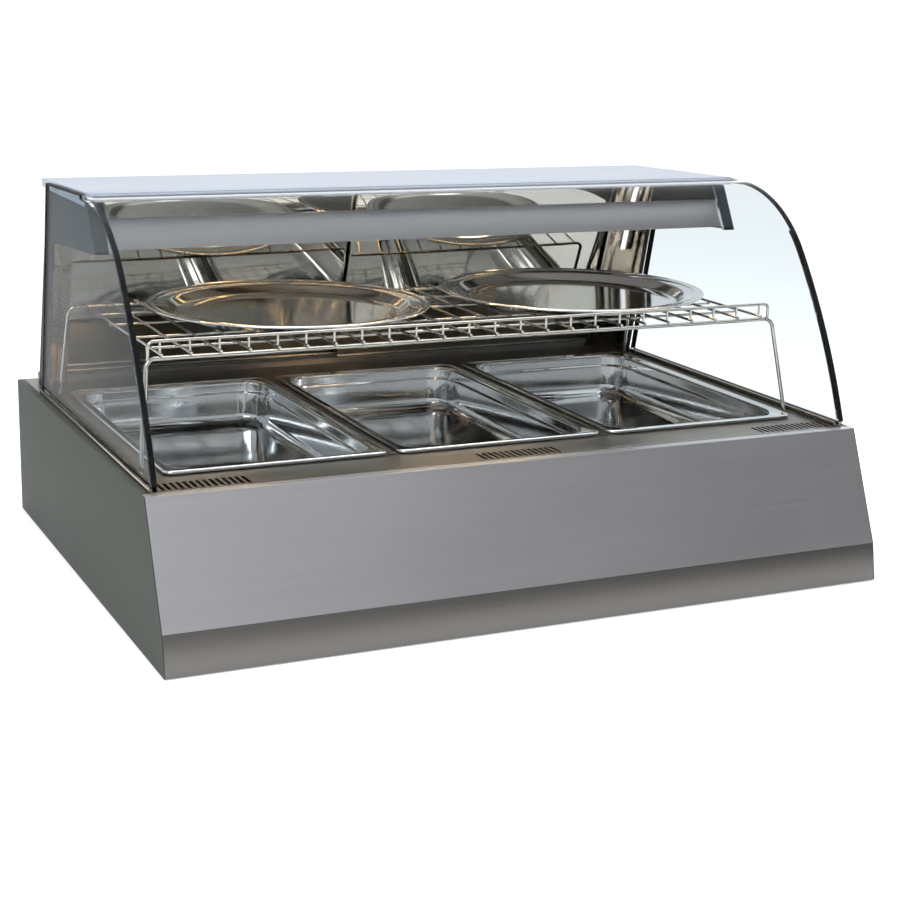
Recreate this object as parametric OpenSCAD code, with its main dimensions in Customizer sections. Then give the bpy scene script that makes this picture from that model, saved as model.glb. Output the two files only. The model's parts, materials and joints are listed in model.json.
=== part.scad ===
// Countertop hot food display case: three full-size pans, a wire shelf,
// a lift-up curved front glass and two sliding rear doors.
// Frame: origin at the centre of the footprint, +X to the right, +Y to the rear, +Z up.

/* [Case] */
// Width over the end panels
case_w = 1110; // [1110:10:1200]
// Depth of the base, from the kick strip to the rear edge
case_d = 830; // [820:10:860]
// Height of the base, up to the top of the deck
base_h = 220; // [205:5:235]
// Height of the roof's top face
roof_h = 566; // [562:1:570]
// Fall of the roof from its front edge to its rear edge
roof_drop = 8; // [4:1:10]
// Thickness of the outer sheet metal
sheet = 1.5; // [1:0.25:2]

/* [Front] */
// Height of the kick strip
kick_h = 57; // [40:1:80]
// Setback of the kick strip's top edge
kick_back = 10; // [0:1:15]
// Setback of the front panel's top edge
panel_back = 78; // [60:1:78]
// Radius of the front glass's upper bend
bend_r = 220; // [216:1:224]
// Angle turned by the upper bend
bend_angle = 53; // [52:0.5:54]
// Radius of the front glass's lower sweep
sweep_r = 950; // [930:10:970]
// Thickness of the glass panes
glass_t = 6; // [5.5:0.5:6]
// Distance from the front edge at which the upper bend starts
bend_y = 392; // [390:1:393]

/* [Rear] */
// Distance of the door plane from the front edge, at deck level
door_y = 790; // [785:1:792]
// Forward lean of the door plane, in degrees
door_lean = 16.9; // [16:0.1:17.5]
// Thickness of a sliding door
door_t = 5; // [4:0.5:5]

/* [Pans] */
// Pan width over the rim
pan_w = 325; // [320:1:327]
// Pan depth over the rim, front to back
pan_d = 530; // [520:1:532]
// Pan height below the rim
pan_h = 65; // [40:1:65]
// Gap between neighbouring pan rims
pan_gap = 15; // [13:1:16]
// Distance of the pans' front rim from the front edge
pan_y = 165; // [162:1:168]

/* [Shelf] */
// Height of the shelf's long wires
shelf_z = 364; // [350:1:370]
// Half width of the shelf
shelf_half = 505; // [480:1:505]
// Distance of the shelf's front hoop from the front edge
shelf_front_y = 245; // [235:1:260]
// Distance of the shelf's rear hoop from the front edge
shelf_rear_y = 666; // [640:1:668]
// Number of long wires
wire_count = 24; // [20:1:26]

/* [Platters] */
// Diameter of a platter
platter_d = 430; // [380:5:436]
// Height of a platter's rim
platter_h = 17; // [12:1:22]

/* [Hidden] */
$fn = 48;

half_w = case_w / 2;
run = 0.3;                              // clearance between bodies that move apart
fit = 0.06;                             // radial clearance of a running bore
foot_h = 12;
skirt_z = 1.5;                          // the sheet skirts end just above the worktop
glass_inset = 10;                       // from the end panels to the glass channels
glass_x = half_w - glass_inset - 4;     // outer face of the side glass
canopy_x = half_w - 26;                 // outer face of the canopy's end frames
canopy_top = roof_h - 13;
canopy_front_low = 484;                 // lower edge of the canopy's end frames, at the front
canopy_rear_low = 468;                  // and where they meet the rear arms
canopy_slope = 0.557;                   // setback of the canopy's front for each mm of height
bracket_w = 22;
arm_foot_y = 708;                       // front edge of the rear arms, at deck level
arm_lean = 12.3;
post_inner_x = 482;                     // inner edge of the rear posts
roof_front = 424;
roof_level = 20;                        // depth of the roof's level front strip
track_w = 24;
track_h = 9;
door_top = roof_h - roof_drop - 2 * sheet - track_w * sin(door_lean);
door_h = (door_top - base_h) / cos(door_lean) - track_h;
roof_rear = door_y + track_w * cos(door_lean) - (door_top - base_h) * tan(door_lean) + sheet + 1;
hinge_y = 417;
hinge_z = roof_h - 5.5;
hinge_half = glass_x - 10;
hinge_r = 3;
knuckle_r = 5;
knuckle_count = 13;
knuckle_gap = 0.4;
glass_tail_y = 410.5;                   // rear edge of the front glass
front_half = half_w - glass_inset - 1;  // half width of the front glass
glass_low = base_h + 4;                 // lower edge of the front glass
bend_steps = 20;
sweep_steps = 10;
well_floor = 120;
liner_t = 1.2;
slot_pitch = 9;
slot_w = 5;
slot_count = 14;
slot_near = 100;
slot_far = 134;
slot_groups = [-464, 0, 464];
rim_h = 6;                              // height of the pans' turned-down rims
pan_t = 1.2;
pan_inset = 13;                         // from the rim's edge to the pan's wall
pan_step = pan_w + pan_gap;
pan_mid_y = pan_y + pan_d / 2;
well_lip = 9;                           // how far the pan rims reach over the well's edge
well_x = pan_step + pan_w / 2 - well_lip;
well_front = pan_y + well_lip;
well_rear = pan_y + pan_d - well_lip;
hoop_d = 6;
hoop_bend = 14;
wire_d = 4;
guard_d = 4.5;
guard_h = 20;                           // height of the guard rail above the long wires
shelf_lines = [308, 388, 495, 583];     // where cross wires lie, besides the two end ones
platter_at = [[-212, 482], [270, 470]];
rear_track = 14;                        // local y of each door's front face
front_track = 4;
door_overlap = 20;
door_outer_x = canopy_x - 10;
plate_y = 812;                          // outer face of the rear panel, from the front edge
plate_x = -340;
plate_z = 115;
rocker_x = [-290, -262];
rocker_w = 14;
knob_x = -405;
lamp_y = 428;
lamp_z = 506;
lamp_end = 484;

// Model Y of a distance from the front edge
function fy(y) = y - case_d / 2;
function arc(c, r, a0, a1, n) =
  [for (i = [0 : n]) let (a = a0 + (a1 - a0) * i / n) [c[0] + r * cos(a), c[1] + r * sin(a)]];
function reversed(list) = [for (i = [len(list) - 1 : -1 : 0]) list[i]];
// Y of the door plane, of the rear arms and of the canopy's slanted front, at height z
function rear_y(z) = fy(door_y) - (z - base_h) * tan(door_lean);
function arm_y(z) = fy(arm_foot_y) - (z - base_h) * tan(arm_lean);
function canopy_y(z) = fy(440) - (roof_h - z) * canopy_slope;
// Height of the roof's top face, level over its front strip and falling behind it
function roof_z(y) = roof_h
  - roof_drop * max(0, (y - fy(roof_front + roof_level)) / (roof_rear - roof_front - roof_level));

// The front glass's outer curve: an upper bend that runs on into a lower sweep
bend_c = [fy(bend_y), roof_h - bend_r];
bend_end = 90 + bend_angle;
sweep_c = bend_c + (bend_r - sweep_r) * [cos(bend_end), sin(bend_end)];
sweep_end = 180 - asin((glass_low - sweep_c[1]) / (sweep_r - glass_t));
glass_end_y = sweep_c[0] + (sweep_r - glass_t / 2) * cos(sweep_end);
// That curve moved inwards by off, short of the sweep's end by cut degrees
function front_curve(off, cut = 0) = concat(
  arc(bend_c, bend_r - off, 90, bend_end, bend_steps),
  [for (i = [1 : sweep_steps]) let (a = bend_end + (sweep_end - cut - bend_end) * i / sweep_steps)
    sweep_c + (sweep_r - off) * [cos(a), sin(a)]]);

// Extrudes an outline in the side plane (Y, Z) along X, from x0 over w
module side_extrude(x0, w) {
  translate([x0, 0, 0]) rotate([90, 0, 90]) linear_extrude(w) children();
}
// Draws its children on the right side (1) or mirrored to the left (-1)
module on_side(side) {
  if (side > 0) children();
  else mirror([1, 0, 0]) children();
}
// The slanted door plane: x along it, y to the rear, z up the slope
module on_door_plane() {
  translate([0, fy(door_y), base_h]) rotate([door_lean, 0, 0]) children();
}
module in_door_section() {
  translate([fy(door_y), base_h]) rotate(door_lean) children();
}
module block(low, high) {
  translate(low) cube(high - low);
}
module block2(low, high) {
  translate(low) square(high - low);
}
module rounded_rect(w, d, r) {
  square([w - 2 * r, d], center = true);
  square([w, d - 2 * r], center = true);
  for (x = [-1, 1], y = [-1, 1]) translate([x * (w / 2 - r), y * (d / 2 - r)]) circle(r);
}
module x_rod(x0, x1, y, z, r) {
  translate([x0, y, z]) rotate([0, 90, 0]) cylinder(r = r, h = x1 - x0);
}
module y_rod(x, y0, y1, z, r) {
  translate([x, y0, z]) rotate([-90, 0, 0]) cylinder(r = r, h = y1 - y0);
}

// ---- Base ----
module base_pan() {
  lip = 15;
  x = half_w - sheet - run;
  near = fy(8);
  far = fy(case_d - 2);
  color("gainsboro") difference() {
    block([-x, near, foot_h], [x, far, foot_h + lip]);
    block([-x + sheet, near + sheet, foot_h + sheet], [x - sheet, far - sheet, foot_h + lip + 1]);
    for (x = [-360 : 90 : 360], y = [300, 560])
      translate([x, fy(y), foot_h - 1]) cylinder(d = 20, h = 4);
  }
}
module foot_pads() {
  color([0.1, 0.1, 0.1]) for (x = [-1, 1], y = [70, case_d - 60])
    translate([x * (half_w - 60), fy(y), 0]) cylinder(d = 44, h = foot_h);
}
module kick_strip() {
  x = half_w - sheet - run;
  top = kick_h - run;
  color([0.72, 0.73, 0.75]) side_extrude(-x, 2 * x) polygon([
    [fy(0), skirt_z], [fy(kick_back), top], [fy(kick_back) + 14, top],
    [fy(kick_back) + 14, top - sheet], [fy(kick_back) + sheet, top - sheet], [fy(0) + sheet, skirt_z]]);
}
module front_panel() {
  x = half_w - sheet - run;
  color([0.6, 0.61, 0.63]) side_extrude(-x, 2 * x) polygon([
    [fy(kick_back), kick_h], [fy(panel_back), base_h], [fy(panel_back) + 16, base_h],
    [fy(panel_back) + 16, base_h - sheet], [fy(panel_back) + sheet, base_h - sheet],
    [fy(kick_back) + 2.3, kick_h + sheet], [fy(kick_back) + 16, kick_h + sheet],
    [fy(kick_back) + 16, kick_h]]);
}
module end_panel(side) {
  ledge = glass_inset - 1;
  x = half_w - sheet;
  color([0.4, 0.43, 0.42]) on_side(side) {
    side_extrude(x, sheet) polygon([[fy(0), skirt_z], [fy(kick_back), kick_h], [fy(panel_back), base_h],
      [fy(case_d), base_h], [fy(case_d), skirt_z]]);
    block([x - ledge, fy(panel_back) + 18, base_h - sheet], [x + 0.5, fy(case_d), base_h]);
  }
}
module rear_panel() {
  x = half_w - sheet - run;
  low = foot_h + 15 + run;
  high = base_h - 2 * sheet - run;
  near = fy(plate_y) - sheet;
  far = fy(plate_y);
  color("lightgray") difference() {
    union() {
      block([-x, near, low], [x, far, high]);
      block([-x, far - 14, high - sheet], [x, far, high]);
    }
    // opening behind the control plate, cord hole and air slots
    block([plate_x - 100, near - 1, plate_z - 28], [plate_x + 100, far + 1, plate_z + 28]);
    y_rod(450, near - 1, far + 1, 80, 8.2);
    for (i = [0 : 15]) block([60 + i * 16, near - 1, 80], [66 + i * 16, far + 1, 130]);
  }
}
module deck_frame() {
  x = half_w - sheet - glass_inset + 1 - run;
  near = fy(panel_back) + 17;
  color([0.66, 0.67, 0.68]) difference() {
    union() {
      block([-x, near, base_h - sheet], [x, fy(case_d), base_h]);
      block([-x, near, base_h - 12], [x, near + sheet, base_h]);
      block([-x, fy(case_d) - sheet, base_h - 22], [x, fy(case_d), base_h]);
    }
    block([-well_x + 3, fy(well_front) + 3, base_h - 5], [well_x - 3, fy(well_rear) - 3, base_h + 5]);
    for (g = slot_groups, i = [0 : slot_count - 1])
      translate([g + (i - (slot_count - 1) / 2) * slot_pitch, 0, 0])
        block([-slot_w / 2, fy(slot_near), base_h - 5], [slot_w / 2, fy(slot_far), base_h + 5]);
  }
}
module well_liner() {
  top = base_h - sheet;
  near = fy(well_front);
  far = fy(well_rear);
  color([0.55, 0.55, 0.56]) difference() {
    union() {
      block([-well_x, near, well_floor], [well_x, far, top]);
      block([-well_x - 8, near - 8, top - liner_t], [well_x + 8, far + 8, top]);
    }
    block([-well_x + liner_t, near + liner_t, well_floor + liner_t],
      [well_x - liner_t, far - liner_t, top + 1]);
  }
}
module well_insulation() {
  color([0.85, 0.8, 0.55])
    block([-well_x, fy(well_front), well_floor - 30], [well_x, fy(well_rear), well_floor]);
}
// A serpentine rod below each pan
module heating_elements() {
  r = 4;
  reach = 190;
  step = 60;
  color([0.25, 0.24, 0.23]) for (p = [-1 : 1])
    translate([p * pan_step, fy(pan_mid_y), well_floor + 14]) {
      for (i = [0 : 3]) y_rod((i - 1.5) * step, -reach, reach, 0, r);
      for (i = [0 : 2]) translate([(i - 1) * step, (i % 2 == 0 ? 1 : -1) * reach, 0])
        rotate([0, 0, i % 2 == 0 ? 0 : 180]) rotate_extrude(angle = 180)
          translate([step / 2, 0]) circle(r);
    }
}
module element_clips() {
  color([0.7, 0.7, 0.7]) for (p = [-1 : 1], y = [-120, 120])
    translate([p * pan_step, fy(pan_mid_y) + y, 0])
      block([-115, -4, well_floor + liner_t], [115, 4, well_floor + 10]);
}
module pan_divider(side) {
  bar = pan_gap / 2 - 1.5;
  color([0.6, 0.62, 0.64]) translate([side * pan_step / 2, 0, 0]) {
    block([-15, fy(well_front) + 3.3, base_h - 3], [15, fy(well_rear) - 3.3, base_h]);
    block([-bar, fy(well_front) - 4, base_h], [bar, fy(well_rear) + 4, base_h + 1.5]);
  }
}
// Pressed pan with a flat rim turned down at its edge
module pan(slot) {
  w = pan_w - 2 * pan_inset;
  d = pan_d - 2 * pan_inset;
  color([0.8, 0.81, 0.83]) translate([slot * pan_step, fy(pan_mid_y), base_h]) difference() {
    union() {
      translate([0, 0, run]) difference() {
        linear_extrude(rim_h) rounded_rect(pan_w, pan_d, 14);
        translate([0, 0, -1]) linear_extrude(rim_h - pan_t + 1)
          rounded_rect(pan_w - 2 * pan_t, pan_d - 2 * pan_t, 14 - pan_t);
      }
      translate([0, 0, -pan_h]) linear_extrude(pan_h + rim_h) rounded_rect(w, d, 40);
    }
    translate([0, 0, pan_t - pan_h]) linear_extrude(pan_h + 10)
      rounded_rect(w - 2 * pan_t, d - 2 * pan_t, 40 - pan_t);
  }
}

// ---- Rear doors and posts ----
module track_grooves(z) {
  for (y = [front_track, rear_track]) translate([y - 1.2, z]) square([door_t + 2.4, track_h - 1]);
}
module rear_sill_track() {
  x = canopy_x - 3;
  foot = track_w * cos(door_lean);
  color([0.82, 0.83, 0.85]) side_extrude(-x, 2 * x) difference() {
    union() {
      in_door_section() square([track_w, track_h]);
      polygon([[fy(door_y), base_h], [fy(door_y) + foot, base_h],
        [fy(door_y) + foot, base_h + track_w * sin(door_lean)]]);
    }
    in_door_section() track_grooves(2);
  }
}
module top_door_track() {
  x = canopy_x - 3;
  seat = sheet + 0.02;                  // below the roof's top face
  top = door_h + track_h;
  front = [fy(door_y) - top * sin(door_lean), base_h + top * cos(door_lean)];
  rear = front + track_w * [cos(door_lean), sin(door_lean)];
  color([0.82, 0.83, 0.85]) side_extrude(-x, 2 * x) difference() {
    union() {
      in_door_section() translate([0, door_h]) square([track_w, track_h]);
      polygon([front, rear, [rear[0], roof_z(rear[0]) - seat], [front[0], roof_z(front[0]) - seat]]);
    }
    in_door_section() translate([0, door_h]) track_grooves(-1);
  }
}
module rear_post(side) {
  t = 2;
  x = canopy_x - 2;
  low = base_h;
  top = roof_h - 16;
  slot_low = 406;
  color([0.62, 0.6, 0.57]) on_side(side) difference() {
    union() {
      side_extrude(x - t, t) polygon([[arm_y(low) + 6, low], [rear_y(low) - 1, low],
        [rear_y(top) - 1, top], [arm_y(top) + 6, top]]);
      side_extrude(post_inner_x, x - post_inner_x) polygon([
        [rear_y(low) - 1 - t, low], [rear_y(low) - 1, low],
        [rear_y(top) - 1, top], [rear_y(top) - 1 - t, top]]);
      side_extrude(post_inner_x + 10, 8) polygon([[rear_y(low) - 9, low], [rear_y(low) - 1, low],
        [rear_y(top) - 1, top], [rear_y(top) - 9, top]]);
    }
    block([x - t - 14, rear_y(slot_low) - 80, slot_low], [x - t, rear_y(slot_low) + 20, top - 14]);
  }
}
module door_pane(side) {
  y = side < 0 ? rear_track : front_track;
  color([0.45, 0.5, 0.52]) on_door_plane() on_side(side)
    block([-door_overlap / 2, y, 2 + run], [door_outer_x, y + door_t, door_h + 4]);
}
module door_pull(side) {
  y = (side < 0 ? rear_track : front_track) + door_t;
  color([0.85, 0.85, 0.86]) on_door_plane() translate([side * (door_outer_x - 34), y, 120])
    difference() {
      block([-13, 0, 0], [13, 4, 110]);
      block([-8, 1.5, 6], [8, 6, 104]);
    }
}

// ---- Side glass ----
seal_w = 2.6;
seal_lip = 0.6;                         // thickness of the seal's two lips
seal_off = glass_t + run;               // the seals lie just inside the front glass
pane_off = seal_off + 1.5;              // the side glass's edge, inside its seal
side_step_y = fy(hinge_y) + 10;         // behind it the side glass rises to the roof
side_level_y = fy(roof_front + roof_level);
side_rear_y = arm_y(roof_h - 10);
side_drop = 1.5;                        // from the roof's top face down to the seals
seal_inset = 1.5;                       // from a seal's top to the glass inside it
// Top line of the side glass and its seal behind the hinge, down below the roof's top face
function side_top_line(down, step, rear) = [
  [side_rear_y + rear, roof_z(side_rear_y) - down],
  [side_level_y, roof_h - down], [side_step_y + step, roof_h - down]];
module side_glass_outline() {
  low = base_h + 2;
  polygon(concat([[arm_y(low) + 2, low]], side_top_line(side_drop + seal_inset, 2, 2),
    [[side_step_y + 2, roof_h - pane_off]], front_curve(pane_off, 0.2),
    [[sweep_c[0] + (sweep_r - pane_off) * cos(sweep_end) + 3, low]]));
}
module side_glass(side) {
  color([0.75, 0.86, 0.88, 0.4]) on_side(side)
    side_extrude(glass_x - glass_t, glass_t) side_glass_outline();
}
module glass_channel(side) {
  near = fy(panel_back) + 20;
  far = arm_y(base_h) + 4;
  color([0.25, 0.24, 0.22]) on_side(side) difference() {
    block([glass_x - glass_t - 4, near, base_h], [glass_x + 4, far, base_h + 7]);
    block([glass_x - glass_t - run, near - 1, base_h + 1.7], [glass_x + run, far + 1, base_h + 20]);
  }
}
// One U-shaped seal round the side glass: front curve, top edge and rear edge
module side_seal(side) {
  cut = 0.35;
  low = base_h + 7.5;
  color([0.06, 0.07, 0.08]) on_side(side) difference() {
    side_extrude(glass_x - glass_t - seal_lip, glass_t + 2 * seal_lip) polygon(concat(
      side_top_line(side_drop, 0, 5), [[side_step_y, roof_h - seal_off]],
      front_curve(seal_off, cut), reversed(front_curve(seal_off + seal_w, cut)),
      [[side_step_y + 4, roof_h - seal_off - seal_w]],
      reversed(side_top_line(side_drop + seal_w, 4, -1)),
      [[arm_y(low) - 1, low], [arm_y(low) + 5, low]]));
    side_extrude(glass_x - glass_t - 0.1, glass_t + 0.2) side_glass_outline();
  }
}
// Bright strips on the inner faces of the side glass, behind the seals
module glass_edge_trims() {
  off = seal_off + seal_w + 0.5;
  color("white") for (side = [-1, 1]) on_side(side) side_extrude(glass_x - glass_t - 1.3, 1.2)
    intersection() {
      polygon(concat(front_curve(off, 0.6), reversed(front_curve(off + 3, 0.6))));
      block2([fy(0), base_h + 7.5], [fy(260), 500]);
    }
}

// ---- Canopy ----
module roof_panel() {
  flange = 20;
  lip = 5;
  x = canopy_x + sheet;
  near = fy(roof_front);
  far = fy(roof_rear);
  level = near + roof_level;
  low = roof_h - flange;
  color([0.8, 0.84, 0.9]) difference() {
    side_extrude(-x, 2 * x)
      polygon([[near, low], [near, roof_h], [level, roof_h], [far, roof_h - roof_drop], [far, low]]);
    side_extrude(sheet - x, 2 * (x - sheet)) polygon([
      [near + sheet, low - 1], [near + sheet, roof_h - sheet], [level, roof_h - sheet],
      [far - sheet, roof_z(far - sheet) - sheet], [far - sheet, low - 1]]);
    block([-x - 1, near - 1, low - 1], [x + 1, near + 16, roof_h - lip]);
    block([sheet - x, far - 40, low - 1], [x - sheet, far + 1, roof_h - roof_drop - lip]);
  }
}
// Dark end plate: canopy arm with its front bracket, and the rear arm down to the deck
module end_frame(side) {
  t = 2;
  r = 12;
  top = canopy_top;
  low = canopy_front_low;
  rear_low = canopy_rear_low;
  color([0.24, 0.29, 0.32]) on_side(side) {
    side_extrude(canopy_x - t, t) polygon(concat(
      [[canopy_y(top), top], [canopy_y(low), low]],
      arc([arm_y(rear_low) - r, rear_low - r], r, 88, 14, 6),
      [[arm_y(base_h), base_h], [rear_y(base_h) - 1, base_h], [rear_y(top) - 1, top]]));
    side_extrude(canopy_x - bracket_w, bracket_w - t) polygon([
      [canopy_y(top), top], [canopy_y(low), low],
      [canopy_y(low) + 2.4, low], [canopy_y(top) + 2.4, top]]);
  }
}
module light_valance() {
  top = 530;
  low = 489;
  x = canopy_x - bracket_w - run;
  color([0.58, 0.58, 0.6]) side_extrude(-x, 2 * x) polygon([
    [canopy_y(top) + 12, top], [canopy_y(top), top], [canopy_y(low), low], [canopy_y(low) + 14, low],
    [canopy_y(low) + 14, low + sheet], [canopy_y(low) + 2.4, low + sheet],
    [canopy_y(top) + 1, top - sheet], [canopy_y(top) + 12, top - sheet]]);
}
module lamp_reflector() {
  x = lamp_end - 10;
  color([0.85, 0.85, 0.82]) side_extrude(-x, 2 * x) translate([fy(lamp_y), lamp_z]) intersection() {
    difference() {
      circle(16);
      circle(15);
    }
    translate([-20, 3]) square([40, 20]);
  }
}
module lamp_holders() {
  color([0.92, 0.9, 0.84]) for (side = [-1, 1], inner = [true, false]) on_side(side)
    let (x = inner ? 12 : lamp_end) difference() {
      x_rod(x - 7, x + 7, fy(lamp_y), lamp_z, 11);
      x_rod(inner ? x : x - 8, inner ? x + 8 : x, fy(lamp_y), lamp_z, 5.1);
    }
}
module lamp_tubes() {
  color([1, 0.85, 0.5, 0.6]) for (side = [-1, 1])
    on_side(side) x_rod(12, lamp_end, fy(lamp_y), lamp_z, 5);
}

// ---- Lift-up front glass ----
knuckle_l = 2 * hinge_half / knuckle_count;
leaf_top = roof_h - glass_t;
// Draws its children once for every second knuckle, from its left end
module at_knuckles(first) {
  for (i = [first : 2 : knuckle_count - 1])
    translate([i * knuckle_l - hinge_half + knuckle_gap / 2, 0, 0]) children();
}
module knuckles(first) {
  at_knuckles(first) x_rod(0, knuckle_l - knuckle_gap, fy(hinge_y), hinge_z, knuckle_r);
}
module hinge_bore() {
  x_rod(-hinge_half - 1, hinge_half + 1, fy(hinge_y), hinge_z, hinge_r + fit);
}
module hinge_rail() {
  back = fy(hinge_y) + knuckle_r + 0.4;
  color([0.8, 0.84, 0.9]) difference() {
    union() {
      knuckles(0);
      at_knuckles(0)
        block([0, fy(hinge_y) + 3, hinge_z - 5], [knuckle_l - knuckle_gap, back + 1, hinge_z]);
      block([-hinge_half, back, hinge_z - 5], [hinge_half, back + 16, hinge_z]);
      block([2 - hinge_half, fy(roof_front) + 2, hinge_z - 1],
        [hinge_half - 2, back + 16, roof_h - sheet]);
    }
    hinge_bore();
  }
}
module hinge_rod() {
  color("silver") x_rod(-hinge_half, hinge_half, fy(hinge_y), hinge_z, hinge_r);
}
// Strip bonded below the rear edge of the front glass, with its knuckles
module hinge_leaf() {
  color([0.8, 0.84, 0.9]) difference() {
    union() {
      block([-hinge_half, fy(glass_tail_y) - 16, leaf_top - 1.6],
        [hinge_half, fy(glass_tail_y) + 0.5, leaf_top]);
      knuckles(1);
      at_knuckles(1) block([0, fy(glass_tail_y), leaf_top - 1.6],
        [knuckle_l - knuckle_gap, fy(hinge_y) - 3.5, leaf_top]);
    }
    hinge_bore();
  }
}
module front_glass() {
  color([0.8, 0.9, 0.92, 0.35]) side_extrude(-front_half, 2 * front_half) polygon(concat(
    [[fy(glass_tail_y), roof_h - glass_t], [fy(glass_tail_y), roof_h]],
    front_curve(0), reversed(front_curve(glass_t))));
}
module glass_bumpers() {
  color([0.08, 0.08, 0.08]) for (x = [-480, -160, 160, 480])
    translate([x, glass_end_y, base_h]) cylinder(d = 8, h = glass_low - base_h - run);
}

// ---- Wire shelf ----
// Round-rod portal with its top bar at y: it leans by lean and its legs splay out down to the deck
module hoop(y, lean, splay) {
  r = hoop_bend;
  bar = shelf_half - r;
  bead = hoop_d / 2 + 0.15;             // weld bead where rod and bend meet
  upright = cos(splay) * cos(lean);
  start_z = shelf_z - r * (1 - sin(splay)) * cos(lean);
  leg = (start_z - base_h - run - hoop_d / 2 * sin(acos(upright))) / upright;
  color([0.75, 0.74, 0.72]) translate([0, fy(y), shelf_z]) rotate([lean, 0, 0]) {
    x_rod(-bar, bar, 0, 0, hoop_d / 2);
    for (s = [-1, 1]) on_side(s) {
      translate([bar, 0, 0]) sphere(bead);
      translate([bar, 0, -r]) rotate([90, 0, 0]) rotate([0, 0, splay])
        rotate_extrude(angle = 90 - splay) translate([r, 0]) circle(hoop_d / 2);
      translate([bar + r * cos(splay), 0, -r + r * sin(splay)]) {
        sphere(bead);
        rotate([0, 180 - splay, 0]) cylinder(d = hoop_d, h = leg);
      }
    }
  }
}
module shelf_front_hoop() {
  hoop(shelf_front_y - 5.5, -11.5, 6);
}
module shelf_rear_hoop() {
  hoop(shelf_rear_y, 13.3, 3.6);
}
long_z = shelf_z + (hoop_d + wire_d) / 2;
wire_reach = shelf_half - 22;
wire_xs = [for (i = [0 : wire_count - 1]) wire_reach * (2 * i / (wire_count - 1) - 1)];
module shelf_long_wires() {
  color([0.75, 0.74, 0.72]) for (x = wire_xs)
    y_rod(x, fy(shelf_front_y - 8), fy(shelf_rear_y + 6), long_z, wire_d / 2);
}
module shelf_cross_wires() {
  x = shelf_half - 20;
  color([0.75, 0.74, 0.72]) for (y = shelf_lines) x_rod(-x, x, fy(y), long_z - wire_d, wire_d / 2);
}
// Rail along the front on short uprights, its ends bent down to the front hoop
module shelf_guard_rail() {
  r = guard_d / 2;
  bend = 8;
  x = shelf_half - 5;
  z = long_z + guard_h - r;
  color([0.8, 0.79, 0.77]) translate([0, fy(shelf_front_y), 0]) {
    x_rod(bend - x, x - bend, 0, z, r);
    for (s = [-1, 1]) on_side(s) {
      translate([x - bend, 0, z - bend]) rotate([90, 0, 0])
        rotate_extrude(angle = 90) translate([bend, 0]) circle(r);
      translate([x, 0, shelf_z - 3]) cylinder(r = r, h = z - bend - shelf_z + 3);
    }
    for (x = wire_xs) translate([x, 0, long_z + wire_d / 2])
      cylinder(d = wire_d - 0.5, h = z - long_z - wire_d / 2);
  }
}

// ---- Platters ----
// Round dish: flat bottom, sloping side and a wide rim that rises a little to its edge
module platter(i) {
  t = 1.4;
  r = platter_d / 2;
  rim = 28;
  wall = 14;
  z = long_z + wire_d / 2 + run;
  color([0.82, 0.83, 0.85]) translate([platter_at[i][0], fy(platter_at[i][1]), z])
    rotate_extrude() polygon([[0, 0], [r - rim - wall, 0], [r - rim, platter_h - 4],
      [r, platter_h - t], [r, platter_h], [r - rim - 0.6, platter_h - 4 + t],
      [r - rim - wall - 0.8, t], [0, t]]);
}

// ---- Controls on the rear panel ----
module control_plate() {
  y = fy(plate_y);
  color([0.3, 0.3, 0.32]) difference() {
    block([plate_x - 110, y, plate_z - 36], [plate_x + 110, y + 2, plate_z + 36]);
    y_rod(knob_x, y - 1, y + 3, plate_z, 5);
    y_rod(-340, y - 1, y + 3, plate_z, 6);
    for (x = rocker_x) block([x - rocker_w / 2 - 2.9, y - 1, plate_z - 15.9],
      [x + rocker_w / 2 + 2.9, y + 3, plate_z + 15.9]);
  }
}
module thermostat() {
  y = fy(plate_y);
  color("silver") {
    block([knob_x - 22, y - 34, plate_z - 22], [knob_x + 22, y - 2, plate_z + 22]);
    y_rod(knob_x, y - 3, y + 3.5, plate_z, 4.7);
    y_rod(knob_x, y, y + 12, plate_z, 3);
  }
}
module thermostat_knob() {
  y = fy(plate_y) + 4;
  color([0.08, 0.08, 0.08]) difference() {
    union() {
      y_rod(knob_x, y, y + 3, plate_z, 21);
      y_rod(knob_x, y + 2, y + 9, plate_z, 17);
      block([knob_x - 3.5, y + 2, plate_z - 16], [knob_x + 3.5, y + 13, plate_z + 16]);
    }
    y_rod(knob_x, y - 1, y + 8.3, plate_z, 3 + fit);
  }
}
rocker_y = fy(plate_y) + 3;
rocker_r = 13;
module rocker(i) {
  tilt = 9;
  color([0.7, 0.12, 0.1]) side_extrude(rocker_x[i] - rocker_w / 2, rocker_w)
    translate([rocker_y, plate_z]) rotate(tilt) difference() {
      polygon([[-4, -9], [7, -10.8], [4.6, 0], [7, 10.8], [-4, 9]]);
      circle(1.5 + fit);
    }
}
module rocker_housings() {
  y = fy(plate_y);
  w = rocker_w / 2;
  color([0.1, 0.1, 0.1]) for (x = rocker_x) translate([x, y, plate_z]) {
    difference() {
      union() {
        block([-w - 2.8, -20, -15.8], [w + 2.8, 3, 15.8]);
        block([-w - 4.5, 2, -18], [w + 4.5, 4.5, 18]);
      }
      block([-w - 0.4, -5, -rocker_r - 0.5], [w + 0.4, 6, rocker_r + 0.5]);
    }
    x_rod(-w - 1, w + 1, rocker_y - y, 0, 1.5);
  }
}
module pilot_lamp() {
  y = fy(plate_y);
  color([0.9, 0.5, 0.1]) {
    y_rod(-340, y - 16, y + 2, plate_z, 5.8);
    y_rod(-340, y + 2, y + 5, plate_z, 8);
  }
}
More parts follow.
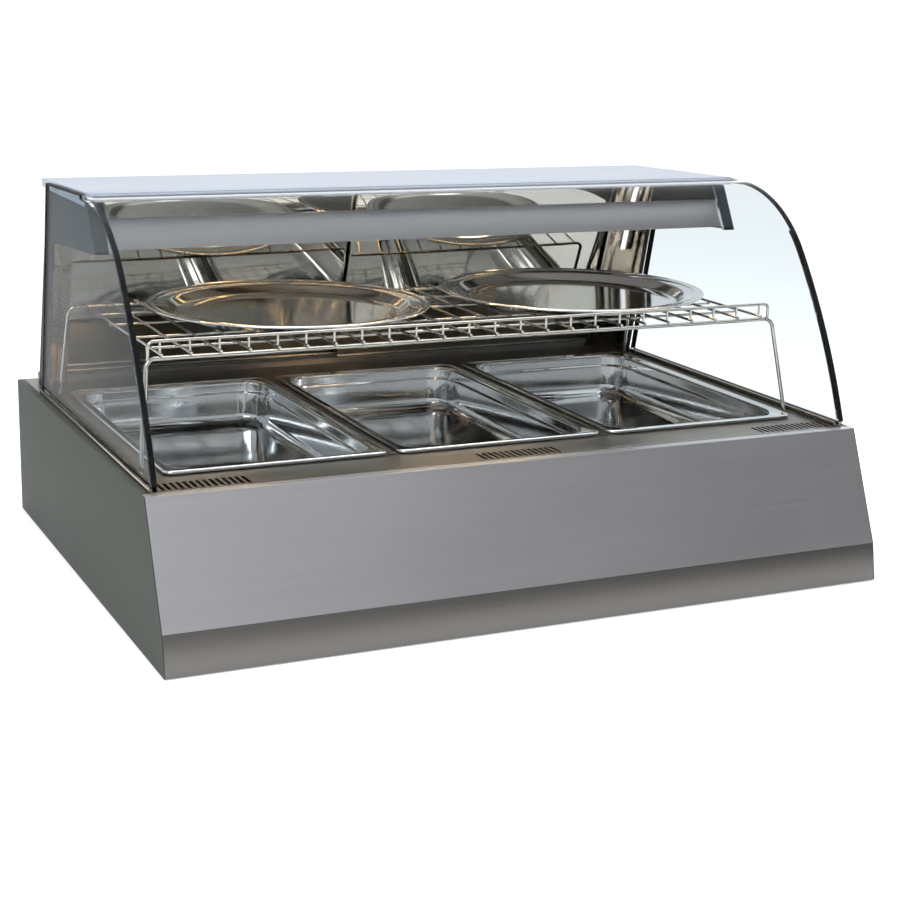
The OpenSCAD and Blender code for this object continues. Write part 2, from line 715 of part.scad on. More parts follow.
module power_inlet() {
  y = fy(plate_y);
  color([0.1, 0.1, 0.1]) difference() {
    union() {
      y_rod(450, y - 12, y + 2, 80, 8);
      y_rod(450, y, y + 5, 80, 13);
      y_rod(450, y + 5, y + 15, 80, 10);
    }
    y_rod(450, y - 13, y + 16, 80, 5);
  }
}
module case_screws() {
  y = fy(plate_y);
  color("silver") for (x = [-535, -180, 180, 535], z = [42, 196]) y_rod(x, y, y + 2.4, z, 4);
}

base_pan();
foot_pads();
kick_strip();
front_panel();
end_panel(-1);  // left_end_panel
end_panel(1);  // right_end_panel
rear_panel();
deck_frame();
well_liner();
well_insulation();
heating_elements();
element_clips();
pan_divider(-1);  // left_pan_divider
pan_divider(1);  // right_pan_divider
pan(-1);  // left_pan
pan(0);  // centre_pan
pan(1);  // right_pan
rear_sill_track();
top_door_track();
rear_post(-1);  // left_rear_post
rear_post(1);  // right_rear_post
door_pane(-1);  // left_door_pane
door_pull(-1);  // left_door_pull
door_pane(1);  // right_door_pane
door_pull(1);  // right_door_pull
side_glass(-1);  // left_side_glass
side_glass(1);  // right_side_glass
glass_channel(-1);  // left_glass_channel
glass_channel(1);  // right_glass_channel
side_seal(-1);  // left_side_seal
side_seal(1);  // right_side_seal
glass_edge_trims();
roof_panel();
end_frame(-1);  // left_end_frame
end_frame(1);  // right_end_frame
light_valance();
lamp_reflector();
lamp_holders();
lamp_tubes();
hinge_rail();
hinge_rod();
hinge_leaf();
front_glass();
glass_bumpers();
shelf_long_wires();
shelf_cross_wires();
shelf_guard_rail();
shelf_front_hoop();
shelf_rear_hoop();
platter(0);  // left_platter
platter(1);  // right_platter
control_plate();
thermostat();
thermostat_knob();
rocker(0);  // power_rocker
rocker(1);  // lamp_rocker
rocker_housings();
pilot_lamp();
power_inlet();
case_screws();
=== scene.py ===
"""Looks of the hot food display case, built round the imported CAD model. Lengths are in metres."""

import json
import math

import bmesh
import bpy
from mathutils import Matrix, Vector


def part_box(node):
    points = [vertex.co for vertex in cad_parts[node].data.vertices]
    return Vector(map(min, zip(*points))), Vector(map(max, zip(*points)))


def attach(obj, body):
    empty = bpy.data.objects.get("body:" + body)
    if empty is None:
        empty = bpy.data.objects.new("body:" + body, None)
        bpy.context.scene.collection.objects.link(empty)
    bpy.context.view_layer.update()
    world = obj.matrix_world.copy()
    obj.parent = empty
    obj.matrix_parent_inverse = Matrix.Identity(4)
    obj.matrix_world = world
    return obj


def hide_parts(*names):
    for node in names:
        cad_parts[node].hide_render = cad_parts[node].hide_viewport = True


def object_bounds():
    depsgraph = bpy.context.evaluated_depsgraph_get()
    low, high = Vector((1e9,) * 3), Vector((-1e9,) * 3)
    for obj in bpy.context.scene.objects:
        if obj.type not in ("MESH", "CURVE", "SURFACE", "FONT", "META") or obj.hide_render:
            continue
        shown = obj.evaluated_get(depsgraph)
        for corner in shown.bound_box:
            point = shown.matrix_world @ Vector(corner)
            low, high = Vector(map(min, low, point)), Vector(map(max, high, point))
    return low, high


bpy.ops.wm.read_factory_settings(use_empty=True)
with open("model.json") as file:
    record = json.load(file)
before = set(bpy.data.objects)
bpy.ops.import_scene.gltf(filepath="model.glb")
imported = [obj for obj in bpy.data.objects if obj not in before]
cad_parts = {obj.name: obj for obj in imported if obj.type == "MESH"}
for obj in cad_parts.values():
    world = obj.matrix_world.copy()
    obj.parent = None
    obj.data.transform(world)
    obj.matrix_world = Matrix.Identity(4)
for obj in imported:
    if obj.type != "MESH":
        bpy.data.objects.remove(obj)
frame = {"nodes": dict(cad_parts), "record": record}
cad_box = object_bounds()
nodes = frame["nodes"]
scene = bpy.context.scene

MM = 0.001
SHEET_CREASE = math.radians(40)         # CAD edges sharper than this are bevelled or kept sharp
ROUND_CREASE = math.radians(30)         # the same for CAD pieces without a bevel
MESH_CREASE = math.radians(38)          # the same for the meshes made here


# ---------------------------------------------------------------- shader helpers
def shade(colour, factor):
    return tuple(min(1.0, c * factor) for c in colour)


class Shader:
    """A node material with one Principled shader and helpers for its patterns."""

    def __init__(self, name):
        self.material = bpy.data.materials.new(name)
        self.material.use_nodes = True
        self.tree = self.material.node_tree
        self.tree.nodes.clear()
        self.output = self.add("ShaderNodeOutputMaterial")
        self.bsdf = self.add("ShaderNodeBsdfPrincipled")
        self.link(self.bsdf.outputs[0], self.output.inputs["Surface"])
        self.coord = self.add("ShaderNodeTexCoord").outputs["Object"]

    def add(self, kind, **values):
        node = self.tree.nodes.new(kind)
        for key, value in values.items():
            setattr(node, key, value)
        return node

    def link(self, a, b):
        self.tree.links.new(a, b)

    def set(self, **values):
        """Sets the shader's own sockets, with _ for a space in their names."""
        for key, value in values.items():
            self.bsdf.inputs[key.replace("_", " ")].default_value = value

    def mapped(self, scale):
        node = self.add("ShaderNodeMapping")
        node.inputs["Scale"].default_value = scale
        self.link(self.coord, node.inputs["Vector"])
        return node.outputs[0]

    def noise(self, scale, stretch=(1, 1, 1), detail=4.0, rough=0.55):
        node = self.add("ShaderNodeTexNoise")
        node.inputs["Scale"].default_value = scale
        node.inputs["Detail"].default_value = detail
        node.inputs["Roughness"].default_value = rough
        self.link(self.mapped(stretch), node.inputs["Vector"])
        return node.outputs["Fac"]

    def span(self, value, low, high, start=0.3, end=0.7):
        """Spreads the part of a pattern from start to end over low to high."""
        node = self.add("ShaderNodeMapRange")
        node.inputs["From Min"].default_value = start
        node.inputs["From Max"].default_value = end
        node.inputs["To Min"].default_value = low
        node.inputs["To Max"].default_value = high
        self.link(value, node.inputs["Value"])
        return node.outputs[0]

    def tint(self, value, colour, low, high):
        """Base colour that runs from low to high times one colour."""
        node = self.add("ShaderNodeMix", data_type="RGBA")
        self.link(value, node.inputs["Factor"])
        for socket, factor in ((node.inputs[6], low), (node.inputs[7], high)):
            socket.default_value = (*shade(colour, factor), 1)
        self.to(node.outputs[2], "Base Color")

    def sum(self, a, b, weight):
        """Adds weight times b to a."""
        node = self.add("ShaderNodeMath", operation="MULTIPLY_ADD")
        self.link(b, node.inputs[0])
        node.inputs[1].default_value = weight
        self.link(a, node.inputs[2])
        return node.outputs[0]

    def bump(self, height, strength, distance):
        node = self.add("ShaderNodeBump")
        node.inputs["Strength"].default_value = strength
        node.inputs["Distance"].default_value = distance
        self.link(height, node.inputs["Height"])
        self.link(node.outputs[0], self.bsdf.inputs["Normal"])

    def to(self, socket, name):
        self.link(socket, self.bsdf.inputs[name])


def brushed(name, colour, rough, depth=0.10):
    """Metal with a fine grain along X, faint smears and uneven polish."""
    s = Shader(name)
    along, across = 4.0, 1100.0
    stretch = (along, across, across)
    spread = 0.04
    fine = s.noise(1.0, stretch, detail=4, rough=0.6)
    wide = s.noise(1.0, tuple(v * 0.15 for v in stretch), detail=3)
    smear = s.noise(5.0, detail=4)
    s.set(Metallic=1.0)
    s.tint(s.span(s.sum(fine, wide, 0.5), 0, 1, 0.5, 1.0), colour, 1 - spread, 1 + spread)
    s.to(s.span(s.sum(fine, smear, 0.5), rough * 0.92, rough * 1.1, 0.5, 1.0), "Roughness")
    s.bump(fine, depth, 0.0001)
    return s.material


def mirror(name, colour):
    """Flat mirror glass with faint wiping marks."""
    s = Shader(name)
    wipe = s.noise(1.0, (20, 60, 12), detail=6, rough=0.7)
    s.set(Metallic=1.0)
    s.tint(s.span(wipe, 0, 1), colour, 0.97, 1.03)
    s.to(s.span(wipe, 0.004, 0.05, 0.55, 0.85), "Roughness")
    return s.material


def polished(name, colour, rough, spread=0.05, wavy=0.10):
    """Pressed or drawn bright metal: slight waviness, wiping marks and a few dull spots."""
    s = Shader(name)
    wave = s.noise(9.0, detail=2)
    wipe = s.noise(1.0, (14, 90, 40), detail=5, rough=0.65)
    spots = s.noise(120.0, detail=3)
    s.set(Metallic=1.0)
    s.tint(s.span(wipe, 0, 1), colour, 1 - spread, 1 + spread)
    s.to(s.span(s.sum(wipe, spots, 0.35), rough * 0.7, rough * 1.35, 0.45, 0.95), "Roughness")
    s.bump(s.sum(wave, wipe, 0.008), wavy, 0.004)
    return s.material


def painted(name, colour, rough, spread, metallic=0.0, peel=0.08, ior=1.45):
    """Coated sheet with fine orange peel, faint dirt and uneven gloss."""
    s = Shader(name)
    s.set(IOR=ior)
    fine = s.noise(900.0, detail=2)
    cloud = s.noise(5.0, detail=6, rough=0.6)
    s.set(Metallic=metallic)
    s.tint(s.span(cloud, 0, 1), colour, 1 - spread, 1 + spread)
    s.to(s.span(s.sum(cloud, fine, 0.3), rough * 0.85, rough * 1.2, 0.4, 0.9), "Roughness")
    s.bump(fine, peel, 0.0002)
    return s.material


def moulded(name, colour, rough, grain=500.0, depth=0.15, ior=1.45):
    """Moulded plastic or rubber with a fine skin texture."""
    s = Shader(name)
    s.set(IOR=ior)
    fine = s.noise(grain, detail=4)
    cloud = s.noise(12.0, detail=4)
    s.tint(s.span(s.sum(cloud, fine, 0.4), 0, 1, 0.5, 0.9), colour, 0.8, 1.25)
    s.to(s.span(s.sum(cloud, fine, 0.4), rough * 0.85, rough * 1.2, 0.5, 0.9), "Roughness")
    s.bump(fine, depth, 0.0002)
    return s.material


def clear_glass(name, tint, smear=0.0012):
    """Coated low-glare glass with faint wiping marks. Shadow rays go straight through it."""
    s = Shader(name)
    wipe = s.noise(1.0, (30, 30, 8), detail=6, rough=0.7)
    s.set(Base_Color=(*tint, 1), IOR=1.04, Transmission_Weight=1.0)
    s.to(s.span(wipe, 0.0, smear, 0.55, 0.85), "Roughness")
    s.bump(s.noise(3.0, detail=1), 0.02, 0.001)
    clear = s.add("ShaderNodeBsdfTransparent")
    clear.inputs[0].default_value = (*shade(tint, 0.97), 1)
    path = s.add("ShaderNodeLightPath")
    either = s.add("ShaderNodeMixShader")
    s.link(path.outputs["Is Shadow Ray"], either.inputs[0])
    s.link(s.bsdf.outputs[0], either.inputs[1])
    s.link(clear.outputs[0], either.inputs[2])
    s.link(either.outputs[0], s.output.inputs["Surface"])
    return s.material


def glowing(name, colour, strength):
    """Lit lamp glass, a little uneven."""
    s = Shader(name)
    cloud = s.noise(60.0, detail=2)
    s.set(Base_Color=(*colour, 1), Roughness=0.3, Emission_Color=(*colour, 1))
    s.to(s.span(cloud, strength * 0.9, strength * 1.1), "Emission Strength")
    return s.material


def fibrous(name, colour):
    """Matted mineral wool."""
    s = Shader(name)
    fibre = s.noise(1.0, (60, 60, 300), detail=8, rough=0.75)
    s.set(Sheen_Weight=0.3)
    s.tint(s.span(fibre, 0, 1), colour, 0.7, 1.15)
    s.to(s.span(fibre, 0.8, 1.0), "Roughness")
    s.bump(fibre, 0.6, 0.002)
    return s.material


LOOKS = {
    "brushed_panel": brushed("panel_steel", (0.55, 0.555, 0.58), rough=0.34, depth=0.05),
    # Kick strip: a darker copy of the panel steel; the darkness is painted shade for the dimmer light on
    # this lower strip
    "kick_steel": brushed("kick_steel", (0.175, 0.171, 0.165), rough=0.34),
    # End panels: the dark green-grey colour and low IOR are a painted reflection of dark surroundings on
    # steel sheet
    "dark_panel": painted("end_panel_painted_dark_reflection", (0.074, 0.082, 0.075), rough=0.50, spread=0.08, ior=1.12),
    "inner_steel": brushed("inner_steel", (0.45, 0.45, 0.45), rough=0.35),
    "galvanised": painted("galvanised_sheet", (0.42, 0.43, 0.44), rough=0.42, spread=0.15, metallic=0.9),
    "deck_steel": brushed("deck_steel", (0.22, 0.205, 0.18), rough=0.33, depth=0.03),
    "pan_steel": polished("pan_steel", (0.66, 0.67, 0.68), rough=0.09, wavy=0.03),
    "rubber": moulded("rubber", (0.008, 0.009, 0.010), rough=0.5, grain=700, ior=1.12),
    "silicone": clear_glass("clear_silicone", (0.90, 0.92, 0.92), smear=0.25),
    "insulation": fibrous("insulation", (0.62, 0.55, 0.3)),
    "element": moulded("element_sheath", (0.06, 0.05, 0.045), rough=0.6, grain=300),
    "track": brushed("track_aluminium", (0.60, 0.61, 0.63), rough=0.34),
    "post": polished("post_steel", (0.36, 0.33, 0.29), rough=0.11, spread=0.06, wavy=0.03),
    "door_mirror": mirror("door_mirror", (0.50, 0.475, 0.42)),
    "clear_glass": clear_glass("float_glass", (0.935, 0.955, 0.960)),
    "side_glass": clear_glass("tinted_glass", (0.74, 0.79, 0.815)),
    # Roof: a real coat whose blue tint is a painted reflection of the sky
    "roof_paint": painted("roof_coat_with_painted_sky_tint", (0.31, 0.36, 0.44), rough=0.32, spread=0.03, peel=0.03),
    # Slate: the dark blue-grey colour and low IOR are a painted reflection of dark surroundings on the
    # end frames' steel
    "slate": painted("slate_painted_dark_reflection", (0.034, 0.046, 0.054), rough=0.42, spread=0.05, ior=1.1),
    "valance_steel": brushed("valance_steel", (0.37, 0.37, 0.385), rough=0.34, depth=0.08),
    "reflector": polished("lamp_reflector", (0.85, 0.84, 0.80), rough=0.10),
    "ceramic": moulded("ceramic", (0.80, 0.77, 0.70), rough=0.25, grain=250, depth=0.05),
    "lamp_glass": glowing("lamp_glow", (1.0, 0.62, 0.25), strength=1.2),
    "chrome": polished("bright_wire", (0.52, 0.50, 0.46), rough=0.10, spread=0.08, wavy=0.02),
    "black_plastic": moulded("black_plastic", (0.02, 0.02, 0.021), rough=0.42),
    "red_plastic": moulded("red_plastic", (0.45, 0.025, 0.018), rough=0.28, grain=300, depth=0.03),
    "amber_plastic": moulded("amber_plastic", (0.75, 0.24, 0.02), rough=0.18, grain=300, depth=0.03),
    "plate": brushed("control_plate", (0.18, 0.18, 0.19), rough=0.36),
}
slot_of = {row["node"]: row["material_slot"] for row in frame["record"]["subparts"]}
for name, obj in nodes.items():
    obj.data.materials.clear()
    obj.data.materials.append(LOOKS[slot_of[name]])


def smooth_cad(obj, edge):
    """Rounds the shading of curved faces; edge is the radius of the sheet's broken edges."""
    weld = obj.modifiers.new("weld", "WELD")
    weld.merge_threshold = 0.00002
    mesh = obj.data
    mesh.polygons.foreach_set("use_smooth", [True] * len(mesh.polygons))
    if edge:
        bevel = obj.modifiers.new("edges", "BEVEL")
        bevel.width = edge
        bevel.segments = 3
        bevel.limit_method = "ANGLE"
        bevel.angle_limit = SHEET_CREASE
    split = obj.modifiers.new("split", "EDGE_SPLIT")
    split.split_angle = SHEET_CREASE if edge else ROUND_CREASE


# Radius in mm of the broken edges of sheet and moulded pieces
EDGES = {
    "front_panel": 0.7, "kick_strip": 0.5, "left_end_panel": 0.6, "right_end_panel": 0.6,
    "roof_panel": 0.7, "light_valance": 0.5, "left_pan_divider": 0.5, "right_pan_divider": 0.5,
    "rear_panel": 0.4, "control_plate": 0.5, "power_rocker": 0.5, "lamp_rocker": 0.5,
    "rocker_housings": 0.5, "thermostat": 0.4, "left_door_pull": 0.6, "right_door_pull": 0.6,
    "left_door_pane": 0.5, "right_door_pane": 0.5, "power_inlet": 0.6, "foot_pads": 1.5,
    "left_glass_channel": 0.4, "right_glass_channel": 0.4, "pilot_lamp": 0.8, "lamp_holders": 0.8,
}
for name, obj in nodes.items():
    smooth_cad(obj, EDGES.get(name, 0) * MM)


# ---------------------------------------------------------------- detailed pieces
def loft(name, rings, cap_first=False, cap_last=False):
    """Skins closed rings of points, with the same number of points in each."""
    mesh = bpy.data.meshes.new(name)
    count = len(rings[0])
    faces = []
    for k in range(len(rings) - 1):
        a, b = k * count, (k + 1) * count
        faces += [(a + i, a + (i + 1) % count, b + (i + 1) % count, b + i) for i in range(count)]
    if cap_first:
        faces.append(tuple(range(count - 1, -1, -1)))
    if cap_last:
        start = (len(rings) - 1) * count
        faces.append(tuple(range(start, start + count)))
    mesh.from_pydata([p for ring in rings for p in ring], [], faces)
    mesh.polygons.foreach_set("use_smooth", [True] * len(faces))
    return mesh


def settle(bm, mesh):
    """Turns the faces outwards and writes them to the mesh."""
    bmesh.ops.recalc_face_normals(bm, faces=bm.faces)
    bm.to_mesh(mesh)
    bm.free()


def bridge(bm, rings):
    """Joins rings of the same number of vertices with quads."""
    count = len(rings[0])
    for a, b in zip(rings, rings[1:]):
        for i in range(count):
            bm.faces.new((a[i], b[i], b[(i + 1) % count], a[(i + 1) % count]))


def add_object(mesh, look, place=(0, 0, 0)):
    obj = bpy.data.objects.new(mesh.name, mesh)
    obj.location = place
    scene.collection.objects.link(obj)
    mesh.materials.append(LOOKS[look])
    split = obj.modifiers.new("split", "EDGE_SPLIT")
    split.split_angle = MESH_CREASE
    return obj


def replace(mesh, node, body, place=(0, 0, 0)):
    """Puts a mesh in the place of a CAD node, on the node's body and in its material."""
    obj = add_object(mesh, slot_of[node], place)
    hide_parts(node)
    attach(obj, body)


def add_detail(mesh, look):
    """Adds a mesh that the CAD leaves out to the case."""
    obj = add_object(mesh, look)
    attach(obj, "case")


def arc(cx, cy, radius, start, end, steps):
    """Points on a circle, from one angle to another in degrees."""
    angles = [math.radians(start + (end - start) * i / steps) for i in range(steps + 1)]
    return [(cx + radius * math.cos(a), cy + radius * math.sin(a)) for a in angles]


def rounded_ring(width, depth, radius, z, steps=9):
    """Ring of points round a rectangle with rounded corners."""
    ring = []
    for quarter, (sx, sy) in enumerate(((1, 1), (-1, 1), (-1, -1), (1, -1))):
        cx, cy = sx * (width / 2 - radius), sy * (depth / 2 - radius)
        ring += [(x, y, z) for x, y in arc(cx, cy, radius, 90 * quarter, 90 * quarter + 90, steps)]
    return ring


def gastronorm_pan(name, node, body):
    """Deep-drawn pan: flat rim with a rolled edge, stacking shoulder, tapered walls, filleted floor."""
    low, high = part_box(node)
    width, depth, height = high - low
    rim = 6.0 * MM                      # height of the rim, which stands on the deck
    floor = rim - height
    wall, foot = 14 * MM, 19 * MM       # insets of the wall at the rim and at the floor
    sheet, fillet = 1.0 * MM, 17 * MM
    rim_corner, wall_corner = 14, 40    # corner radii in mm
    bead = 2.9 * MM                     # radius of the rolled edge

    def section(*points):
        """Points given in mm as (inset from the rim's edge, height above the deck)."""
        return [(inset * MM, z * MM) for inset, z in points]

    def skin(off, base):
        """Floor, fillet, wall and stacking shoulder, moved inwards by off."""
        turn = [math.radians(15 * i) for i in range(7)]
        rise = [(foot + off + fillet - fillet * math.sin(a), base + fillet - fillet * math.cos(a))
                for a in turn]
        shoulder = [(wall + off + inset, z)
                    for inset, z in section((2.5, -17), (2.0, -14.5), (0.5, -13), (0, -11))]
        return [(70 * MM, base)] + rise + shoulder

    under = skin(0, floor) + section(
        (14, -1), (13.2, 2.2), (11.4, 3.5), (5.4, 3.7), (3.4, 3.3), (2.6, 2.2))
    edge = arc(bead + 0.05 * MM, bead + 0.15 * MM, bead, 250, 90, 12)
    upper = skin(sheet, floor + sheet) + section(
        (15, -0.5), (14.4, 2.6), (13, 4.2), (11, 4.7), (6.4, 4.7), (4.6, 5.4))
    rings = []
    for inset, z in under + edge + upper[::-1]:
        # The corners widen across the rim and tighten again down the wall
        blend = min(1.0, max(0.0, (inset - 3 * MM) / (10 * MM)))
        radius = (rim_corner + (wall_corner - rim_corner) * blend) * MM
        radius -= max(0.0, inset - 13 * MM) * 0.45
        rings.append(rounded_ring(width - 2 * inset, depth - 2 * inset, radius, z))
    mesh = loft(name, rings, True, True)
    centre = (low + high) / 2
    replace(mesh, node, body, (centre.x, centre.y, high.z - rim))


def turned(name, profile, steps=144):
    """Turns a profile of (radius, height) points about the Z axis."""
    turns = [2 * math.pi * i / steps for i in range(steps)]
    rings = [[(r * math.cos(a), r * math.sin(a), z) for a in turns] for r, z in profile]
    return loft(name, rings, True, True)


def round_platter(name, node, body):
    """Spun platter: flat floor, sloping side, stepped rim and a rolled edge."""
    low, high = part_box(node)
    r = (high.x - low.x) / 2
    top = high.z - low.z
    hub = 0.01 * r
    bead = 1.7 * MM

    def above_base(*points):
        """Points given in mm as (inset from the edge, height above the base)."""
        return [(r - inset * MM, z * MM) for inset, z in points]

    def below_top(*points):
        """Points given in mm as (inset from the edge, depth below the rim's top)."""
        return [(r - inset * MM, top - z * MM) for inset, z in points]

    under = ([(hub, 0)] + above_base((54, 0), (46, 0.3), (41, 2.0))
             + below_top((31, 5.8), (28, 4.4), (24, 3.8), (4, 2.2), (2.6, 2.9)))
    edge = arc(r - bead, top - bead, bead, -110, 110, 10)
    upper = (below_top((4, 0.9), (11, 1.9), (12.5, 1.1), (14, 2.2), (25, 2.8), (28.6, 3.6), (32, 5.4))
             + above_base((42, 3.0), (46, 1.6), (54, 1.2)) + [(hub, 1.2 * MM)])
    mesh = turned(name, under + edge + upper)
    centre = (low + high) / 2
    replace(mesh, node, body, (centre.x, centre.y, low.z))


def screw_heads():
    """Domed screw heads with a cross recess, facing the rear."""
    low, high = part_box("case_screws")
    radius = 4 * MM
    depth = high.y - low.y
    outer = high.x - radius
    inner = outer * 180 / 535           # the CAD's inner screws stand 180 mm out, the outer ones 535 mm
    steps = 32
    turns = [2 * math.pi * i / steps for i in range(steps)]
    dome = ((1.0, 0.0), (1.0, 0.35), (0.93, 0.62), (0.78, 0.84), (0.55, 0.96), (0.32, 1.0))
    cross = [0.30 if i % 8 in (0, 1, 7) else 0.10 for i in range(steps)]
    levels = [([share] * steps, rise) for share, rise in dome] + [(cross, 0.35)]
    mesh = bpy.data.meshes.new("rear_screws")
    bm = bmesh.new()
    for x in (-outer, -inner, inner, outer):
        for z in (low.z + radius, high.z - radius):
            rings = [[bm.verts.new((x + radius * share * math.cos(a), low.y + depth * rise,
                                    z + radius * share * math.sin(a)))
                      for a, share in zip(turns, shares)] for shares, rise in levels]
            bridge(bm, rings)
            bm.faces.new(rings[-1])
    settle(bm, mesh)
    replace(mesh, "case_screws", "case")


def control_knob():
    """Fluted knob with a raised grip across it."""
    low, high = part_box("thermostat_knob")
    r = (high.x - low.x) / 2
    depth = high.y - low.y
    profile = [(0.97, 0.0), (1.0, 0.05), (1.0, 0.16), (0.96, 0.22), (0.82, 0.24), (0.80, 0.30),
               (0.78, 0.62), (0.74, 0.69), (0.66, 0.72), (0.01, 0.72)]
    flutes, flute_depth, steps = 30, 0.035, 180
    turns = [2 * math.pi * i / steps for i in range(steps)]
    rings = []
    for share, rise in profile:
        fluted = 0.7 < share < 0.81
        reach = [r * (share - (flute_depth * (0.5 + 0.5 * math.cos(flutes * a)) if fluted else 0))
                 for a in turns]
        rings.append([(d * math.cos(a), depth * rise, d * math.sin(a)) for d, a in zip(reach, turns)])
    mesh = loft("control_knob", rings, True, True)
    grip = rounded_ring(7 * MM, 1.50 * r, 2.5 * MM, 0, 5)
    bm = bmesh.new()
    bm.from_mesh(mesh)
    levels = [[bm.verts.new((x * shrink, depth * rise, y * shrink)) for x, y, _ in grip]
              for shrink, rise in ((1.0, 0.70), (0.97, 0.95), (0.88, 1.0))]
    bridge(bm, levels)
    bm.faces.new(levels[-1])
    settle(bm, mesh)
    centre = (low + high) / 2
    replace(mesh, "thermostat_knob", "knob", (centre.x, low.y, centre.z))


def dial_marks():
    """Raised ticks round the knob, longer at every second step."""
    low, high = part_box("thermostat_knob")
    plate_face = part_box("control_plate")[1].y
    centre = (low + high) / 2
    inner = (high.x - low.x) / 2 + 1.5 * MM
    half_width, rise = 0.45 * MM, 0.3 * MM
    first_angle, step_angle, count = 225, 27, 11
    mesh = bpy.data.meshes.new("dial_marks")
    bm = bmesh.new()
    for step in range(count):
        a = math.radians(first_angle - step_angle * step)
        outer = inner + (4.5 if step % 2 == 0 else 2.8) * MM
        out = Vector((math.cos(a), 0, math.sin(a)))
        side = Vector((-math.sin(a), 0, math.cos(a))) * half_width
        tick = [out * inner - side, out * outer - side, out * outer + side, out * inner + side]
        levels = [[bm.verts.new((p.x + centre.x, y, p.z + centre.z)) for p in tick]
                  for y in (plate_face, plate_face + rise)]
        bridge(bm, levels)
        bm.faces.new(levels[-1])
    settle(bm, mesh)
    add_detail(mesh, "ceramic")


def bracket_trims():
    """Bright strips between the valance and the end brackets, each with a dark clip below."""
    low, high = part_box("light_valance")
    slope = 0.557                       # setback of the slanted front for each unit of height
    soft = 0.25 * MM                    # chamfer at the bars' ends

    def bar(name, look, side, reach, rise, stand):
        """Bar on the slanted front: x and z in mm from the valance's lower corner."""
        x0, x1 = sorted(side * (high.x + x * MM) for x in reach)
        z0, z1 = (low.z + z * MM for z in rise)
        corners = ((z0, -stand * MM), (z1, -stand * MM), (z1, 0), (z0, 0))
        section = [(low.y + (z - low.z) * slope + off, z) for z, off in corners]
        mid_y = sum(y for y, _ in section) / 4
        mid_z = sum(z for _, z in section) / 4
        rings = []
        for x, shrink in ((x0, soft), (x0 + soft, 0), (x1 - soft, 0), (x1, soft)):
            rings.append([(x, y + math.copysign(shrink, mid_y - y), z + math.copysign(shrink, mid_z - z))
                          for y, z in section])
        add_detail(loft(name, rings, True, True), look)

    for side, tag in ((-1, "left"), (1, "right")):
        bar(f"{tag}_bracket_trim", "chrome", side, (-1.0, 2.0), (-4, 62), 1.5)
        bar(f"{tag}_bracket_clip", "rubber", side, (2.2, 20), (-5, -1.5), 2.0)


for place in ("left", "centre", "right"):
    gastronorm_pan(f"{place}_gastronorm_pan", f"{place}_pan", f"pan_{place}")
for place in ("left", "right"):
    round_platter(f"{place}_round_platter", f"{place}_platter", f"platter_{place}")
screw_heads()
control_knob()
dial_marks()
bracket_trims()


# ---------------------------------------------------------------- stage, light and camera
def stage_floor():
    """Plain white floor under the feet, with a slight glow that keeps it pale far away."""
    look = Shader("floor")
    look.set(Base_Color=(0.88, 0.88, 0.88, 1), Roughness=0.9,
             Emission_Color=(1, 1, 1, 1), Emission_Strength=0.30)
    size = 14.0
    corners = [(-size, -size, 0), (size, -size, 0), (size, size, 0), (-size, size, 0)]
    mesh = bpy.data.meshes.new("floor")
    mesh.from_pydata(corners, [], [(0, 1, 2, 3)])
    mesh.materials.append(look.material)
    obj = bpy.data.objects.new("floor", mesh)
    obj.location.z = cad_box[0].z
    scene.collection.objects.link(obj)


def area_light(name, place, target, size, power, colour=(1, 1, 1)):
    """Rectangular light of size (width, height) in metres and power in watts, facing a target."""
    data = bpy.data.lights.new(name, "AREA")
    data.shape = "RECTANGLE"
    data.size, data.size_y = size
    data.energy = power
    data.color = colour
    obj = bpy.data.objects.new(name, data)
    obj.location = place
    obj.rotation_euler = (Vector(target) - Vector(place)).to_track_quat("-Z", "Y").to_euler()
    scene.collection.objects.link(obj)


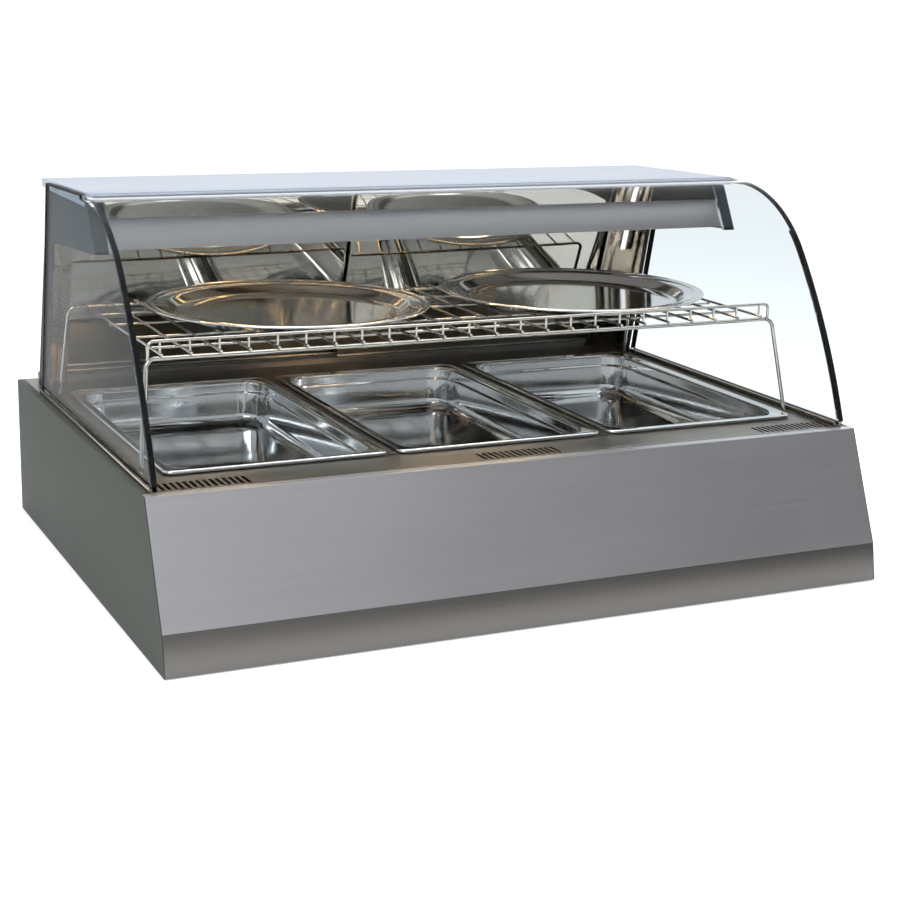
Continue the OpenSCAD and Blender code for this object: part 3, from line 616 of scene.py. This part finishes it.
def studio_world():
    """White studio: brightest behind and high at the right, darkest low at the front right."""
    world = bpy.data.worlds.new("studio")
    scene.world = world
    world.use_nodes = True
    tree = world.node_tree
    tree.nodes.clear()
    coord = tree.nodes.new("ShaderNodeTexCoord")
    split = tree.nodes.new("ShaderNodeSeparateXYZ")
    tree.links.new(coord.outputs["Generated"], split.inputs[0])
    x, y, z = split.outputs

    def span(source, start, end, low, high):
        node = tree.nodes.new("ShaderNodeMapRange")
        for key, value in (("From Min", start), ("From Max", end), ("To Min", low), ("To Max", high)):
            node.inputs[key].default_value = value
        tree.links.new(source, node.inputs["Value"])
        return node.outputs[0]

    def combine(operation, a, b):
        node = tree.nodes.new("ShaderNodeMath")
        node.operation = operation
        tree.links.new(a, node.inputs[0])
        tree.links.new(b, node.inputs[1])
        return node.outputs[0]

    ahead = combine("MULTIPLY", span(x, 0.18, 0.50, 0, 0.8), span(y, 0.0, -0.5, 0, 1))
    front_right = combine("MULTIPLY", ahead, span(z, 0.62, 0.48, 0, 1))
    overhead_right = combine("MULTIPLY", span(x, 0.25, 0.55, 0, 0.7), span(z, 0.55, 0.66, 0, 1))
    strength = combine("MULTIPLY", span(y, -0.9, 0.5, 0.62, 1.05), span(front_right, 0, 1, 1, 0))
    strength = combine("MULTIPLY", strength, span(overhead_right, 0, 1, 1, 2))
    # The background itself shows as plain white
    seen = tree.nodes.new("ShaderNodeLightPath").outputs["Is Camera Ray"]
    strength = combine("MAXIMUM", strength, seen)
    back = tree.nodes.new("ShaderNodeBackground")
    back.inputs["Color"].default_value = (1, 1, 1, 1)
    tree.links.new(strength, back.inputs["Strength"])
    out = tree.nodes.new("ShaderNodeOutputWorld")
    tree.links.new(back.outputs[0], out.inputs["Surface"])


def camera():
    """Camera in front of the case's left half, looking down on it and to the right."""
    yaw, pitch, roll = (math.radians(angle) for angle in (25.403, 14.344, 1.377))
    beyond_front, height, x = 2.0742, 0.8542, -1.1485
    forward = Vector((math.sin(yaw) * math.cos(pitch), math.cos(yaw) * math.cos(pitch), -math.sin(pitch)))
    level = Vector((math.cos(yaw), -math.sin(yaw), 0))
    upright = level.cross(forward)
    right = level * math.cos(roll) + upright * math.sin(roll)
    up = right.cross(forward)
    turn = Matrix((right, up, -forward)).transposed().to_4x4()
    data = bpy.data.cameras.new("camera")
    data.lens = 72.05
    data.sensor_width = 36.0
    obj = bpy.data.objects.new("camera", data)
    place = (x, cad_box[0].y - beyond_front, cad_box[0].z + height)
    obj.matrix_world = Matrix.Translation(place) @ turn
    scene.collection.objects.link(obj)
    scene.camera = obj


stage_floor()
studio_world()
camera()
area_light("key", (-2.2, -2.0, 2.6), (0, 0, 0.3), (2.0, 1.4), 55)
area_light("top", (0.4, 0.6, 2.8), (0, 0, 0.3), (2.4, 1.6), 40)
lamp_low, lamp_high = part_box("lamp_tubes")
lamp_y = (lamp_low.y + lamp_high.y) / 2
lamp_z = lamp_low.z - 4 * MM
warm = (1.0, 0.66, 0.34)
area_light("warm_lamps", (0, lamp_y, lamp_z), (0, lamp_y + 0.05, 0), (0.9, 0.012), 3.4, warm)
scene.view_settings.view_transform = "Standard"
